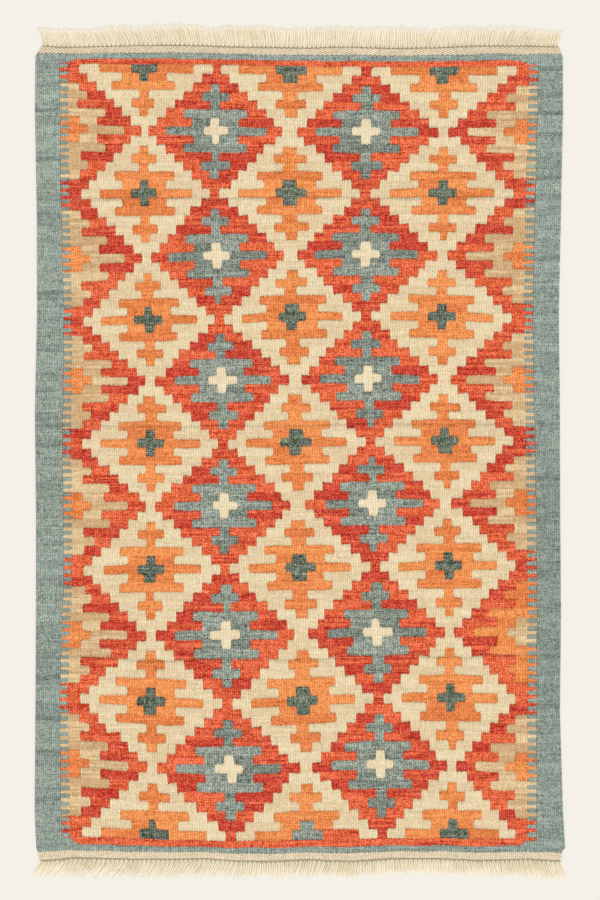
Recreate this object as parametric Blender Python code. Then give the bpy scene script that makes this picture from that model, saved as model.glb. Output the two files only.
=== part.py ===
"""Flat-woven kilim rug laid flat: one woven cloth and two warp fringes.

Frame: metres, +X across the rug, +Y along it, +Z up, the floor at z = 0.
Sizes below are in millimetres and are turned into metres once, in solid().
"""

from dataclasses import dataclass

import bpy
import numpy as np

MM = 0.001

# ---- cloth -------------------------------------------------------------------------------
CLOTH_THICK = 3.0  # a medium weight wool kilim
RIM_INSET = 0.8  # how far the rounded rim draws in at the top and the underside
ROWS_ALONG = 22
END_AT = 772.0  # where the selvedges are read for the end lines, from the middle
CUT_GAP = 0.3  # between the cloth's end and a fringe's root strip

# The two selvedges, at stations along the rug from its middle
SELVEDGE_COLUMNS = ("along", "left", "right")
SELVEDGES = (
    (-772.0, -493.0, 499.0),
    (-756.0, -497.0, 499.5),
    (-751.0, -499.0, 505.5),
    (-684.0, -502.0, 501.5),
    (-494.0, -500.5, 495.5),
    (-304.0, -499.5, 497.5),
    (-114.0, -499.5, 496.0),
    (76.0, -501.5, 495.5),
    (266.0, -497.5, 493.5),
    (456.0, -498.0, 497.5),
    (646.0, -501.5, 501.5),
    (754.0, -500.5, 501.0),
    (759.0, -497.0, 498.0),
    (773.0, -489.0, 494.0),
)

# How far each end line stands from the rug's middle, at stations across the rug given as
# shares of its width from the left
END_COLUMNS = ("share", "top", "bottom")
END_LINES = (
    (0.000, 772.0, -773.5),
    (0.038, 769.0, -771.5),
    (0.064, 769.0, -768.0),
    (0.175, 772.0, -770.5),
    (0.256, 773.0, -770.5),
    (0.317, 772.0, -769.5),
    (0.369, 769.5, -773.5),
    (0.442, 769.0, -775.0),
    (0.516, 767.0, -771.5),
    (0.560, 769.0, -774.0),
    (0.600, 769.0, -774.5),
    (0.676, 766.5, -770.0),
    (0.752, 767.5, -769.5),
    (0.843, 771.5, -773.0),
    (0.934, 771.0, -770.5),
    (1.000, 770.0, -774.5),
)

# ---- fringe ------------------------------------------------------------------------------
LOCKS = 113  # one lock to each pair of warps
STRIP_DEEP = 4.2
STRIP_SHORT = 0.002  # how far the strip stops short of each selvedge, as a share of the width
STRIP_THICK = 2.4
ROOT_SHARE = 0.72  # a lock's width at its root, as a share of the room it has
LOCK_TIP_WIDE = 3.2
LOCK_TIP_THICK = 1.1
TOP_SHARE = 0.62  # a lock's width on top, as a share of its width on the floor
SWAY = 0.45  # greatest sideways stray of one tip
UNEVEN = 2.6  # greatest stray of one lock's length
SEGMENTS = 3

LOCK_COLUMNS = ("across", "length", "lean")
TOP_LOCKS = (
    (-490.0, 34.0, -8.0),
    (-449.0, 35.0, -19.0),
    (-413.0, 33.0, -22.0),
    (-358.0, 36.0, -17.0),
    (-286.0, 38.0, -15.0),
    (-208.0, 42.0, -12.0),
    (-156.0, 34.0, -8.0),
    (-128.0, 41.0, -8.0),
    (-75.0, 41.0, -5.0),
    (-27.0, 38.0, -4.0),
    (17.0, 40.0, -2.0),
    (77.0, 39.0, 2.0),
    (129.0, 38.0, 6.0),
    (191.0, 42.0, 1.0),
    (248.0, 38.0, 5.0),
    (296.0, 37.0, 10.0),
    (345.0, 38.0, 3.0),
    (404.0, 36.0, 15.0),
    (457.0, 33.0, 19.0),
    (492.0, 29.0, 9.0),
)
BOTTOM_LOCKS = (
    (-493.0, 25.0, -17.0),
    (-455.0, 30.0, -26.0),
    (-398.0, 32.0, -25.0),
    (-331.0, 33.0, -23.0),
    (-255.0, 32.0, -23.0),
    (-183.0, 32.0, -19.0),
    (-128.0, 28.0, -15.0),
    (-84.0, 30.0, -4.0),
    (-37.0, 29.0, -2.0),
    (11.0, 31.0, -12.0),
    (58.0, 28.0, -8.0),
    (110.0, 29.0, -4.0),
    (165.0, 27.0, 7.0),
    (229.0, 26.0, 2.0),
    (277.0, 27.0, 2.0),
    (340.0, 29.0, 8.0),
    (412.0, 32.0, 11.0),
    (457.0, 36.0, 8.0),
    (497.0, 29.0, 11.0),
)


@dataclass(frozen=True)
class Yarn:
    """One material of the part: its name, its base colour and how rough it is."""

    name: str
    colour: tuple[float, float, float]
    rough: float


WOVEN_WOOL = Yarn("woven_wool", (0.55, 0.26, 0.16), 0.9)
FRINGE_COTTON = Yarn("fringe_cotton", (0.80, 0.70, 0.48), 0.9)


def column(table: tuple, names: tuple, name: str) -> np.ndarray:
    """Returns one named column of a short table."""
    return np.array(table, float)[:, names.index(name)]


def end_line(share: np.ndarray, name: str) -> np.ndarray:
    """Returns how far along the rug an end line stands at each share of its width."""
    return np.interp(
        share, column(END_LINES, END_COLUMNS, "share"), column(END_LINES, END_COLUMNS, name)
    )


def selvedge(along: np.ndarray, name: str) -> np.ndarray:
    """Returns how far across the rug a selvedge stands at each place along it."""
    return np.interp(
        along, column(SELVEDGES, SELVEDGE_COLUMNS, "along"), column(SELVEDGES, SELVEDGE_COLUMNS, name)
    )


def finish(yarn: Yarn) -> bpy.types.Material:
    """Makes the plain material of one yarn."""
    material = bpy.data.materials.new(yarn.name)
    material.use_nodes = True
    shader = material.node_tree.nodes["Principled BSDF"]
    shader.inputs["Base Color"].default_value = (*yarn.colour, 1.0)
    shader.inputs["Roughness"].default_value = yarn.rough
    return material


@dataclass
class Solid:
    """One closed solid: its points in millimetres and its faces, which wind outwards."""

    name: str
    points: np.ndarray
    faces: list

    def place(self, shift: np.ndarray, material: bpy.types.Material) -> None:
        """Adds the solid to the scene, moved by shift and turned into metres."""
        mesh = bpy.data.meshes.new(self.name)
        mesh.from_pydata(((self.points + shift) * MM).tolist(), [], self.faces)
        mesh.validate()
        mesh.update()
        mesh.materials.append(material)
        bpy.context.scene.collection.objects.link(bpy.data.objects.new(self.name, mesh))


def cloth_sheet(inset: float) -> np.ndarray:
    """Returns the cloth's grid of (x, y) places, drawn in at its rim by inset."""
    share_x = column(END_LINES, END_COLUMNS, "share")
    share_y = np.concatenate(
        [[0.0, 0.010, 0.014], np.linspace(0.05, 0.95, ROWS_ALONG - 5), [0.987, 0.991, 1.0]]
    )
    rough_y = END_AT * (2.0 * share_y - 1.0)
    left = selvedge(rough_y, "left") + inset
    right = selvedge(rough_y, "right") - inset
    x = left[:, None] + (right - left)[:, None] * share_x[None, :]
    low = end_line(share_x, "bottom") + inset
    high = end_line(share_x, "top") - inset
    y = low + (high - low) * share_y[:, None]
    return np.stack([x, y], axis=-1)


def grid_faces(rows: int, columns: int, start: int, up: bool) -> list:
    """Returns the quads of a grid of points whose first point has the index start."""
    faces = []
    for row in range(rows - 1):
        for col in range(columns - 1):
            corner = start + row * columns + col
            quad = (corner, corner + 1, corner + columns + 1, corner + columns)
            faces.append(quad if up else quad[::-1])
    return faces


def rim_of(rows: int, columns: int) -> np.ndarray:
    """Returns the indices of a grid's rim, anticlockwise from above."""
    index = np.arange(rows * columns).reshape(rows, columns)
    return np.concatenate(
        [index[0, :-1], index[:-1, -1], index[-1, :0:-1], index[:0:-1, 0]]
    )


def band_faces(lower: np.ndarray, upper: np.ndarray) -> list:
    """Returns the quads between two rims of the same length."""
    lower_next = np.roll(lower, -1)
    upper_next = np.roll(upper, -1)
    return np.stack([lower, lower_next, upper_next, upper], axis=1).tolist()


def make_cloth() -> Solid:
    """Makes the woven cloth: flat underneath, flat on top, with a rounded rim."""
    inner = cloth_sheet(RIM_INSET)
    outer = cloth_sheet(0.0)
    rows, columns = inner.shape[:2]
    count = rows * columns
    flat = inner.reshape(-1, 2)
    rim = rim_of(rows, columns)
    middle = outer.reshape(-1, 2)[rim]
    points = np.concatenate(
        [
            np.column_stack([flat, np.zeros(count)]),
            np.column_stack([flat, np.full(count, CLOTH_THICK)]),
            np.column_stack([middle, np.full(len(rim), CLOTH_THICK / 2)]),
        ]
    )
    middle_rim = 2 * count + np.arange(len(rim))
    faces = grid_faces(rows, columns, 0, up=False)
    faces += grid_faces(rows, columns, count, up=True)
    faces += band_faces(rim, middle_rim)
    faces += band_faces(middle_rim, rim + count)
    return Solid("kilim_cloth", points, faces)


@dataclass(frozen=True)
class Fringe:
    """One end's cut warps: its node name, its end line, its table and which way it points."""

    name: str
    line: str
    table: tuple
    way: float
    seed: int

    def places(self) -> np.ndarray:
        """Returns the two sides of every lock's root, as shares of the end's width."""
        room = (1.0 - 2.0 * STRIP_SHORT) / LOCKS
        middle = STRIP_SHORT + room * (np.arange(LOCKS) + 0.5)
        half = 0.5 * ROOT_SHARE * room
        return np.column_stack([middle - half, middle + half])

    def across(self, share: np.ndarray) -> np.ndarray:
        """Returns how far across the rug each share of the end's width stands."""
        left = selvedge(self.way * END_AT, "left")
        return left + (selvedge(self.way * END_AT, "right") - left) * share

    def look_up(self, across: np.ndarray, name: str) -> np.ndarray:
        """Returns a named column of this fringe's table at each lock."""
        return np.interp(
            across,
            column(self.table, LOCK_COLUMNS, "across"),
            column(self.table, LOCK_COLUMNS, name),
        )

    def rings(self, places: np.ndarray) -> np.ndarray:
        """Returns the corner points of every lock's rings past its root, four a ring.

        Each lock leaves the strip square to the rug and bends over to its lean, so a ring
        at share t of the length stands aside by lean * t ** 1.5.
        """
        draw = np.random.default_rng(self.seed)
        roots = self.across(places)
        middle = roots.mean(axis=1)
        length = self.look_up(middle, "length") + draw.uniform(-UNEVEN, UNEVEN, LOCKS)
        lean = self.look_up(middle, "lean") + draw.uniform(-SWAY, SWAY, LOCKS)
        root_wide = roots[:, 1] - roots[:, 0]
        share = np.arange(1, SEGMENTS + 1) / SEGMENTS
        start = end_line(places.mean(axis=1), self.line) + self.way * (CUT_GAP + STRIP_DEEP)
        along = start[:, None] + self.way * (length[:, None] - STRIP_DEEP) * share
        aside = middle[:, None] + lean[:, None] * share**1.5
        wide = root_wide[:, None] + (LOCK_TIP_WIDE - root_wide)[:, None] * share
        high = STRIP_THICK + (LOCK_TIP_THICK - STRIP_THICK) * share
        high = np.broadcast_to(high, wide.shape)
        floor = np.zeros_like(wide)
        corners = (
            (-0.5, floor),
            (0.5, floor),
            (0.5 * TOP_SHARE, high),
            (-0.5 * TOP_SHARE, high),
        )
        return np.stack(
            [np.stack([aside + at * wide, along, z], axis=-1) for at, z in corners], axis=2
        )

    def make(self) -> Solid:
        """Makes the root strip and its locks as one closed solid."""
        places = self.places()
        x = self.across(places.reshape(-1))
        back = end_line(places.reshape(-1), self.line) + self.way * CUT_GAP
        front = back + self.way * STRIP_DEEP
        count = len(x)
        levels = ((back, 0.0), (front, 0.0), (front, STRIP_THICK), (back, STRIP_THICK))
        strip = [np.column_stack([x, y, np.full(count, z)]) for y, z in levels]
        rings = self.rings(places)
        points = np.concatenate([*strip, rings.reshape(-1, 3)])
        faces = []
        for side in range(4):
            if side == 1:
                continue
            near = side * count
            far = (side + 1) % 4 * count
            for col in range(count - 1):
                faces.append((near + col, far + col, far + col + 1, near + col + 1))
        for col in range(1, count - 1, 2):
            faces.append((count + col, 2 * count + col, 2 * count + col + 1, count + col + 1))
        faces.append(tuple(level * count for level in (3, 2, 1, 0)))
        faces.append(tuple(level * count + count - 1 for level in (0, 1, 2, 3)))
        for lock in range(LOCKS):
            left = 2 * lock
            ring = (count + left, count + left + 1, 2 * count + left + 1, 2 * count + left)
            for part in range(SEGMENTS):
                first = 4 * count + (lock * SEGMENTS + part) * 4
                beyond = tuple(range(first, first + 4))
                for side in range(4):
                    step = (side + 1) % 4
                    faces.append((ring[side], beyond[side], beyond[step], ring[step]))
                ring = beyond
            faces.append(ring[::-1])
        if self.way < 0:
            faces = [face[::-1] for face in faces]
        return Solid(self.name, points, faces)


def clear() -> None:
    """Removes whatever the scene starts with."""
    for item in list(bpy.data.objects):
        bpy.data.objects.remove(item)


def to_bottom_centre(solids: list) -> np.ndarray:
    """Returns the shift that puts the origin under the middle of the whole rug."""
    points = np.concatenate([item.points for item in solids])
    low, high = points.min(axis=0), points.max(axis=0)
    return -np.array([*(0.5 * (low + high))[:2], low[2]])


def main() -> None:
    """Builds the cloth and the fringe at each end."""
    clear()
    solids = [
        make_cloth(),
        Fringe("fringe_top", "top", TOP_LOCKS, 1.0, 11).make(),
        Fringe("fringe_bottom", "bottom", BOTTOM_LOCKS, -1.0, 12).make(),
    ]
    shift = to_bottom_centre(solids)
    wool = finish(WOVEN_WOOL)
    cotton = finish(FRINGE_COTTON)
    for item, material in zip(solids, (wool, cotton, cotton), strict=True):
        item.place(shift, material)


main()
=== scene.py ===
"""The dressed kilim rug: a ribbed slit weave with its diamond chart, two end webs and two fringes.

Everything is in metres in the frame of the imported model. Sizes below are in millimetres, and
are turned into metres once, where a mesh is made.
"""

from __future__ import annotations

import logging
import math
from collections.abc import Callable, Sequence
from dataclasses import dataclass, field
from enum import Enum
from functools import cached_property

import bpy
import numpy as np
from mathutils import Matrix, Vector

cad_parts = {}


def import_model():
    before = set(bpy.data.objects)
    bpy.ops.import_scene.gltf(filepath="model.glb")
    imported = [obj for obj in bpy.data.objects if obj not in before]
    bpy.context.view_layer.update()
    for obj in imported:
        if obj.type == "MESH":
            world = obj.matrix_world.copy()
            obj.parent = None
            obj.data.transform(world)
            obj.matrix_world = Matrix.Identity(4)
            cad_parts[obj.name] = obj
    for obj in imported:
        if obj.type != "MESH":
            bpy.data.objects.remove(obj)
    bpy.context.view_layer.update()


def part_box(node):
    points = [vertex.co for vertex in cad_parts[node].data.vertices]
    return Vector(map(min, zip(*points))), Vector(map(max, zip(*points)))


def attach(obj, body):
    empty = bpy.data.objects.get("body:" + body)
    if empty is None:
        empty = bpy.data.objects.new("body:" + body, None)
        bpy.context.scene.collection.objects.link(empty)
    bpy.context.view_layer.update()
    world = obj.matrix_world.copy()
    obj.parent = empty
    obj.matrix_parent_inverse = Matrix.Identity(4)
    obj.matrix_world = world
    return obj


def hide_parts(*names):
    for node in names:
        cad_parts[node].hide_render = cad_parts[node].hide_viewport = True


LOG = logging.getLogger("kilim")
MM = 0.001
TURN = 2.0 * math.pi
BODY = "root"
CLOTH_NODE = "kilim_cloth"
WOOL_SLOT = "woven_wool"
COTTON_SLOT = "fringe_cotton"
UV_NAME = "weave"
BLACKEST = (0.004, 0.004, 0.004)
WAVES = 7
SHORTEST_WAVE = 0.33
SIDES = ("left", "right")


class Table:
    """A short table of rounded values whose columns have names."""

    def __init__(self, names: tuple[str, ...], *rows: tuple[float, ...]) -> None:
        """Keeps the columns by name."""
        self.first = names[0]
        self.columns = dict(zip(names, np.array(rows, float).T, strict=True))

    def read(self, at: np.ndarray, name: str, by: str = "") -> np.ndarray:
        """Returns a column's values at places along another one, by default the first."""
        return np.interp(at, self.columns[by or self.first], self.columns[name])


# ---- the rug's outline, as in its solids ---------------------------------------------------
END_AT = 772.0

SELVEDGES = Table(
    ("along", "left", "right"),
    (-772, -493, 499), (-756, -497, 499.5), (-751, -499, 505.5), (-684, -502, 501.5),
    (-494, -500.5, 495.5), (-304, -499.5, 497.5), (-114, -499.5, 496), (76, -501.5, 495.5),
    (266, -497.5, 493.5), (456, -498, 497.5), (646, -501.5, 501.5), (754, -500.5, 501),
    (759, -497, 498), (773, -489, 494),
)

END_LINES = Table(
    ("share", "top", "bottom"),
    (0.000, 772, -773.5), (0.038, 769, -771.5), (0.064, 769, -768), (0.175, 772, -770.5),
    (0.256, 773, -770.5), (0.317, 772, -769.5), (0.369, 769.5, -773.5), (0.442, 769, -775),
    (0.516, 767, -771.5), (0.560, 769, -774), (0.600, 769, -774.5), (0.676, 766.5, -770),
    (0.752, 767.5, -769.5), (0.843, 771.5, -773), (0.934, 771, -770.5), (1.000, 770, -774.5),
)

# Each lock's length past the end line, and how far its tip leans to the right
TOP_LOCKS = Table(
    ("across", "length", "lean"),
    (-490, 34, -8), (-449, 35, -19), (-413, 33, -22), (-358, 36, -17), (-286, 38, -15),
    (-208, 42, -12), (-156, 34, -8), (-128, 41, -8), (-75, 41, -5), (-27, 38, -4), (17, 40, -2),
    (77, 39, 2), (129, 38, 6), (191, 42, 1), (248, 38, 5), (296, 37, 10), (345, 38, 3),
    (404, 36, 15), (457, 33, 19), (492, 29, 9),
)
BOTTOM_LOCKS = Table(
    ("across", "length", "lean"),
    (-493, 25, -17), (-455, 30, -26), (-398, 32, -25), (-331, 33, -23), (-255, 32, -23),
    (-183, 32, -19), (-128, 28, -15), (-84, 30, -4), (-37, 29, -2), (11, 31, -12), (58, 28, -8),
    (110, 29, -4), (165, 27, 7), (229, 26, 2), (277, 27, 2), (340, 29, 8), (412, 32, 11),
    (457, 36, 10), (497, 29, 18),
)

# ---- where the hand-beaten pattern lies ----------------------------------------------------
# DRIFT and LEVELS are another program's fit of the chart to the photograph, rounded to half
# a millimetre and then corrected by a second program's measured differences
# Across: the middle line of every eighth chart column, at seven chart rows
DRIFT_ROWS = (0, 14, 28, 42, 56, 70, 84)
DRIFT = (
    (-426, -294.5, -158.5, -17, 128, 275, 423),
    (-423, -294.5, -161, -17.5, 126, 273.5, 416.5),
    (-418, -284, -151.5, -13, 127.5, 271.5, 413),
    (-420.5, -282, -144, -5.5, 135.5, 277, 416),
    (-418, -281.5, -140.5, 0.5, 144.5, 284, 419.5),
    (-425.5, -281, -136, 8, 151.5, 287.5, 419.5),
    (-422, -275.5, -129, 15.5, 158.5, 293.5, 419),
)
# Along: how far up the rug a chart row lies, at four chart columns
LEVEL_ROWS = (-0.5, 7, 14, 21, 28, 35, 42, 49, 56, 63, 70, 77, 84.5)
LEVEL_COLUMNS = (0, 16, 32, 48)
LEVELS = (
    (738.5, 737, 732.5, 734), (614, 610.5, 609.5, 609), (491, 493, 493, 493.5),
    (367, 373.5, 377, 372.5), (249.5, 254, 260, 255.5), (136, 137.5, 140.5, 138),
    (18, 17.5, 21.5, 23), (-101, -101, -96.5, -95), (-223.5, -220, -216, -213),
    (-346, -346.5, -341, -340.5), (-465.5, -476.5, -465.5, -466.5), (-590, -601.5, -592, -597.5),
    (-728.5, -737, -732.5, -733),
)

# The comb between border and field: how many of the border's beads lie above each place
COMB = Table(
    ("left", "left_beads", "right", "right_beads"),
    (-755, 103, -747, 102), (-740, 102, -724, 101), (-563, 90, -561, 90), (-373, 77, -365, 77),
    (-181, 64, -179, 65), (9, 51, 11, 52), (203, 38, 203, 38), (380, 26, 383, 25),
    (575, 12, 573, 12), (750, 0, 744, 0),
)

# How light the two borders are along the rug, as a factor
BORDER_TONES = Table(
    ("along", "left", "right"),
    (-740, 1.00, 0.94), (-500, 0.97, 1.00), (-280, 1.00, 0.86), (-50, 0.98, 0.87),
    (180, 1.00, 1.04), (400, 1.03, 1.06), (740, 1.08, 1.00),
)
# The darker wefts that cross each border: the place along and the factor
STREAKS = {
    "left": (
        (648, 0.76), (558, 0.84), (486, 0.82), (455, 0.84), (307, 0.76), (-430, 0.78),
        (-500, 0.76), (-566, 0.78), (-660, 0.84),
    ),
    "right": (
        (728, 0.76), (684, 0.82), (646, 0.74), (606, 0.74), (518, 0.72), (490, 0.84), (403, 0.82),
        (369, 0.84), (-48, 0.86), (-294, 0.84), (-480, 0.84),
    ),
}


def smooth(at: np.ndarray, stations: Sequence[float], values: Sequence) -> np.ndarray:
    """Carries values between stations on cubics whose slopes are the values' own gradients.

    Args:
        at: the places to read, in any order.
        stations: the places where values are given, rising.
        values: one value, or one row of values, for each station.

    Returns:
        One value, or one row of values, for each place.
    """
    stations = np.asarray(stations, float)
    values = np.asarray(values, float)
    first = np.clip(np.searchsorted(stations, at) - 1, 0, len(stations) - 2)
    step = stations[first + 1] - stations[first]
    part = (at - stations[first]) / step
    slope = np.gradient(values, stations, axis=0)
    if values.ndim > 1:
        step = step[:, None]
        part = part[:, None]
    return (
        (2 * part**3 - 3 * part**2 + 1) * values[first]
        + (part**3 - 2 * part**2 + part) * step * slope[first]
        + (3 * part**2 - 2 * part**3) * values[first + 1]
        + (part**3 - part**2) * step * slope[first + 1]
    )


def ripple(x: np.ndarray, y: np.ndarray, seed: int, longest: float) -> np.ndarray:
    """Returns a gentle seeded wave over the plane, between about -1 and 1.

    It is a sum of sines in turned directions whose lengths fall from longest to a third of
    it, each lower the shorter it is, divided by the sum of their heights.

    Args:
        x: places across, in millimetres.
        y: places along, in millimetres.
        seed: the wave's own seed.
        longest: the longest wave, in millimetres.

    Returns:
        The wave's height at each place.
    """
    draw = np.random.default_rng(seed)
    total = np.zeros(np.broadcast(x, y).shape)
    lengths = longest * np.linspace(1.0, SHORTEST_WAVE, WAVES)
    for length in lengths:
        turn, phase = draw.uniform(0.0, TURN, 2)
        along = x * math.cos(turn) + y * math.sin(turn)
        total = total + length * np.sin(TURN * along / length + phase)
    return total / lengths.sum() * math.sqrt(WAVES)


def arch(ribs: np.ndarray) -> np.ndarray:
    """Returns half a sine over each rib, from 0 in one valley to 0 in the next."""
    return np.sin(math.pi * (ribs - np.floor(ribs)))


def linear(colour: Sequence[float]) -> np.ndarray:
    """Turns a colour as seen on a screen, 0 to 255, into the shader's linear one."""
    share = np.asarray(colour, float) / 255.0
    return np.where(share <= 0.04045, share / 12.92, ((share + 0.055) / 1.055) ** 2.4)


def stand(name: str, data: bpy.types.ID) -> bpy.types.Object:
    """Puts a new object into the scene.

    Args:
        name: the object's name.
        data: its mesh, lamp or camera.

    Returns:
        The object.
    """
    made = bpy.data.objects.new(name, data)
    bpy.context.scene.collection.objects.link(made)
    return made


# ---- the chart -----------------------------------------------------------------------------
@dataclass(frozen=True)
class Wool:
    """One dyed yarn: how a pale and a deep length look, how lots differ, and how flecked it is."""

    pale: tuple[int, int, int]
    deep: tuple[int, int, int]
    lots: float
    fleck: float
    heather: float


class Dye(Enum):
    """The yarns of the weave."""

    SLATE = Wool((153, 164, 153), (137, 148, 138), 0.01, 1.58, 2.70)
    CREAM = Wool((230, 211, 172), (222, 198, 159), 0.005, 0.70, 2.20)
    RED = Wool((234, 109, 66), (197, 67, 41), 0.035, 1.80, 1.40)
    ORANGE = Wool((240, 150, 85), (223, 126, 69), 0.01, 1.26, 1.60)
    GREEN = Wool((122, 131, 112), (91, 100, 86), 0.14, 2.45, 4.20)
    BLUE = Wool((154, 162, 149), (126, 134, 123), 0.02, 2.10, 4.00)
    WHITE = Wool((236, 219, 184), (228, 209, 173), 0.015, 0.62, 0.50)
    TAN = Wool((228, 199, 153), (200, 164, 120), 0.04, 0.86, 1.40)
    # the web's deep colour is laid in the web's furrows as painted shade
    WEB = Wool((236, 220, 190), (192, 172, 141), 0.01, 0.85, 1.80)

    @property
    def number(self) -> int:
        """Returns the yarn's place in the list of yarns."""
        return DYES.index(self)


DYES = tuple(Dye)


@dataclass(frozen=True)
class Chart:
    """The pattern, cell by cell: stepped diamonds in turn red and cream, each with a star."""

    across: int = 49
    along: int = 85
    wide: int = 16
    high: int = 14
    star: tuple[int, ...] = (5, 2, 3, 0, 1, 0, -1, -1)
    seed: int = 21
    stray: float = 0.30
    lines_off: tuple[int, ...] = (21, 24, 25, 27, 30, 40, 43, 46)
    ribs_off: tuple[float, ...] = (0.0, -0.7, 0.85, 0.75, 0.0, 0.0, 0.45, 0.0)
    ribs_in_cell: int = 4
    first_cell_ends: int = 21
    odd_half: tuple[int, int, int] = (41, 56, 70)
    odd_arm: tuple[int, int, int] = (26, 29, 84)

    def yarns(self, u: np.ndarray, v: np.ndarray) -> np.ndarray:
        """Returns the yarn of each cell.

        A cell lies in a red diamond if its steps across and its steps along from that
        diamond's middle add up to half the diamond's height or less, and otherwise in a cream
        one. It lies in the star if its steps across are within the star's reach in its row.
        A later line of the list goes over an earlier one.

        Args:
            u: cells across, from the left.
            v: rows, from the top.

        Returns:
            The place in DYES of each cell's yarn.
        """
        turn_u = u % self.wide
        turn_v = v % self.high
        red_across = np.minimum(turn_u, self.wide - turn_u)
        red_along = np.abs(turn_v - self.high // 2)
        red = red_across <= self.high // 2 - red_along
        aside = np.where(red, red_across, np.abs(turn_u - self.wide // 2))
        beyond = np.where(red, red_along, np.minimum(turn_v, self.high - turn_v))
        star = aside <= np.array(self.star)[beyond]
        cross = ((beyond == 0) & (aside <= 1)) | ((beyond == 1) & (aside == 0))
        half = (u < self.wide // 2) | (u >= self.across - self.wide // 2)
        odd_from, odd_first, odd_last = self.odd_half
        odd = (u >= odd_from) & (v >= odd_first) & (v <= odd_last) & red
        arm_from, arm_to, arm_row = self.odd_arm
        arm = (u >= arm_from) & (u <= arm_to) & (v == arm_row)
        last = (v >= self.along - 2) & (np.abs(u - self.across // 2) <= 1)
        out = np.full(u.shape, Dye.CREAM.number)
        for where, dye in (
            (red, Dye.RED),
            (star & ~red, Dye.ORANGE),
            (star & red, Dye.BLUE),
            (star & red & half, Dye.TAN),
            (cross & ~red, Dye.GREEN),
            (cross & red, Dye.WHITE),
            (cross & red & half, Dye.ORANGE),
            (odd & star, Dye.ORANGE),
            (odd & cross, Dye.TAN),
            (arm & star, Dye.RED),
            (last & cross, Dye.BLUE),
        ):
            out[where] = dye.number
        return out

    def cell(self, rib: np.ndarray) -> np.ndarray:
        """Returns the cell that each rib is in. The outer two cells are a rib wider."""
        inner = (rib - self.first_cell_ends) // self.ribs_in_cell + 1
        return np.clip(inner, 0, self.across - 1)

    def on_ribs(self, ribs: int) -> np.ndarray:
        """Returns the yarn of each rib in each row, with some steps a rib out of line.

        The middle column was counted wider than the rest, and the columns beside it make
        room. So every line between two cells is moved by its own share of a rib and a seeded
        stray, rounded to whole ribs, and a rib takes the cell that it would have if the
        nearest line had not moved.

        Args:
            ribs: how many ribs the rug has.

        Returns:
            One row for each chart row, one column for each rib.
        """
        draw = np.random.default_rng(self.seed)
        wanted = np.interp(np.arange(self.across + 1), self.lines_off, self.ribs_off)
        strays = draw.normal(0.0, self.stray, (self.along, self.across + 1))
        moved = np.rint(wanted + strays).astype(int)
        rib = np.arange(ribs)
        nearest = np.clip(self.cell(rib + self.ribs_in_cell // 2), 0, self.across)
        cell = self.cell(rib[None, :] - moved[:, nearest])
        return self.yarns(cell, np.broadcast_to(np.arange(self.along)[:, None], cell.shape))


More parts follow.
